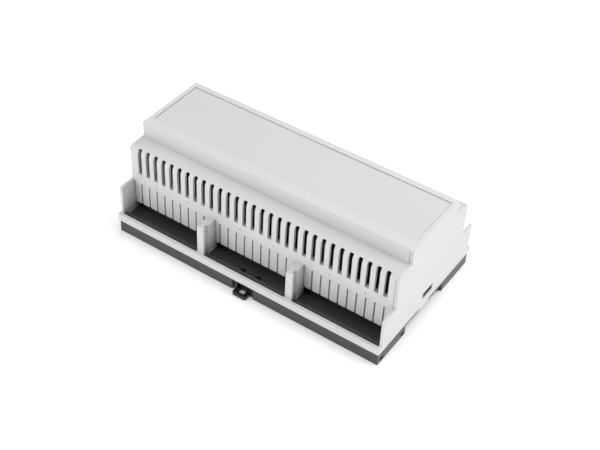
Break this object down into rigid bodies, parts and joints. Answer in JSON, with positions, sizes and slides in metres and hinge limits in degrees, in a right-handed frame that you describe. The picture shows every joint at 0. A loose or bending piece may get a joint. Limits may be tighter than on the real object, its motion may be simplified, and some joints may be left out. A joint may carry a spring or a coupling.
{
  "type": "rail-mounted plc module",
  "caption": "Two-step grey controller housing on a black base that clips to a mounting rail, with open terminal bays, vent slots, a lift-off hood and boards inside.",
  "frame": {"origin": "centre of the footprint, latch tab included, at the underside of the feet", "axes": "+X along the module and the rail, -Y towards the latch side, +Z from the rail side up to the front panel"},
  "size_m": [0.16, 0.0926, 0.058],
  "materials": {
    "hood_grey": "fine satin moulding",
    "panel_grey": "fine satin moulding",
    "guard_grey": "fine satin moulding",
    "base_black": "fine satin moulding",
    "latch_black": "fine satin moulding",
    "board_green": "lacquered laminate",
    "connector_grey": "moulded",
    "relay_blue": "moulded",
    "capacitor_sleeve": "shrink sleeve",
    "component_black": "moulded",
    "steel": "zinc plated"
  },
  "bodies": {
    "base": {"base_tray": "base_black", "header_near_1": "connector_grey", "header_near_2": "connector_grey", "header_near_3": "connector_grey", "header_far_1": "connector_grey", "header_far_2": "connector_grey", "header_far_3": "connector_grey", "main_board": "board_green", "logic_board": "board_green", "board_screw_1": "steel", "spacer_screw_1": "steel", "board_spacer_1": "steel", "isolator_1": "component_black", "board_screw_2": "steel", "spacer_screw_2": "steel", "board_spacer_2": "steel", "isolator_2": "component_black", "board_screw_3": "steel", "spacer_screw_3": "steel", "board_spacer_3": "steel", "isolator_3": "component_black", "board_screw_4": "steel", "spacer_screw_4": "steel", "board_spacer_4": "steel", "isolator_4": "component_black", "relay_1": "relay_blue", "relay_2": "relay_blue", "relay_3": "relay_blue", "relay_4": "relay_blue", "relay_5": "relay_blue", "relay_6": "relay_blue", "capacitor_1": "capacitor_sleeve", "capacitor_2": "capacitor_sleeve", "power_converter": "component_black", "board_connector": "component_black", "processor": "component_black", "memory_chip": "component_black"},
    "hood": {"cover_hood": "hood_grey", "guard_near_1": "guard_grey", "guard_near_2": "guard_grey", "guard_near_3": "guard_grey", "guard_far_1": "guard_grey", "guard_far_2": "guard_grey", "guard_far_3": "guard_grey"},
    "panel": {"front_panel": "panel_grey"},
    "latch": {"din_latch": "latch_black"}
  },
  "joints": [
    {"name": "hood_lift", "type": "slide", "parent": "base", "child": "hood", "axis": [0, 0, 1], "range_m": [0, 0.06]},
    {"name": "panel_lift", "type": "slide", "parent": "hood", "child": "panel", "axis": [0, 0, 1], "range_m": [0, 0.03]},
    {"name": "latch_pull", "type": "slide", "parent": "base", "child": "latch", "axis": [0, -1, 0], "range_m": [0, 0.004], "stiffness_N_per_m": 900}
  ]
}
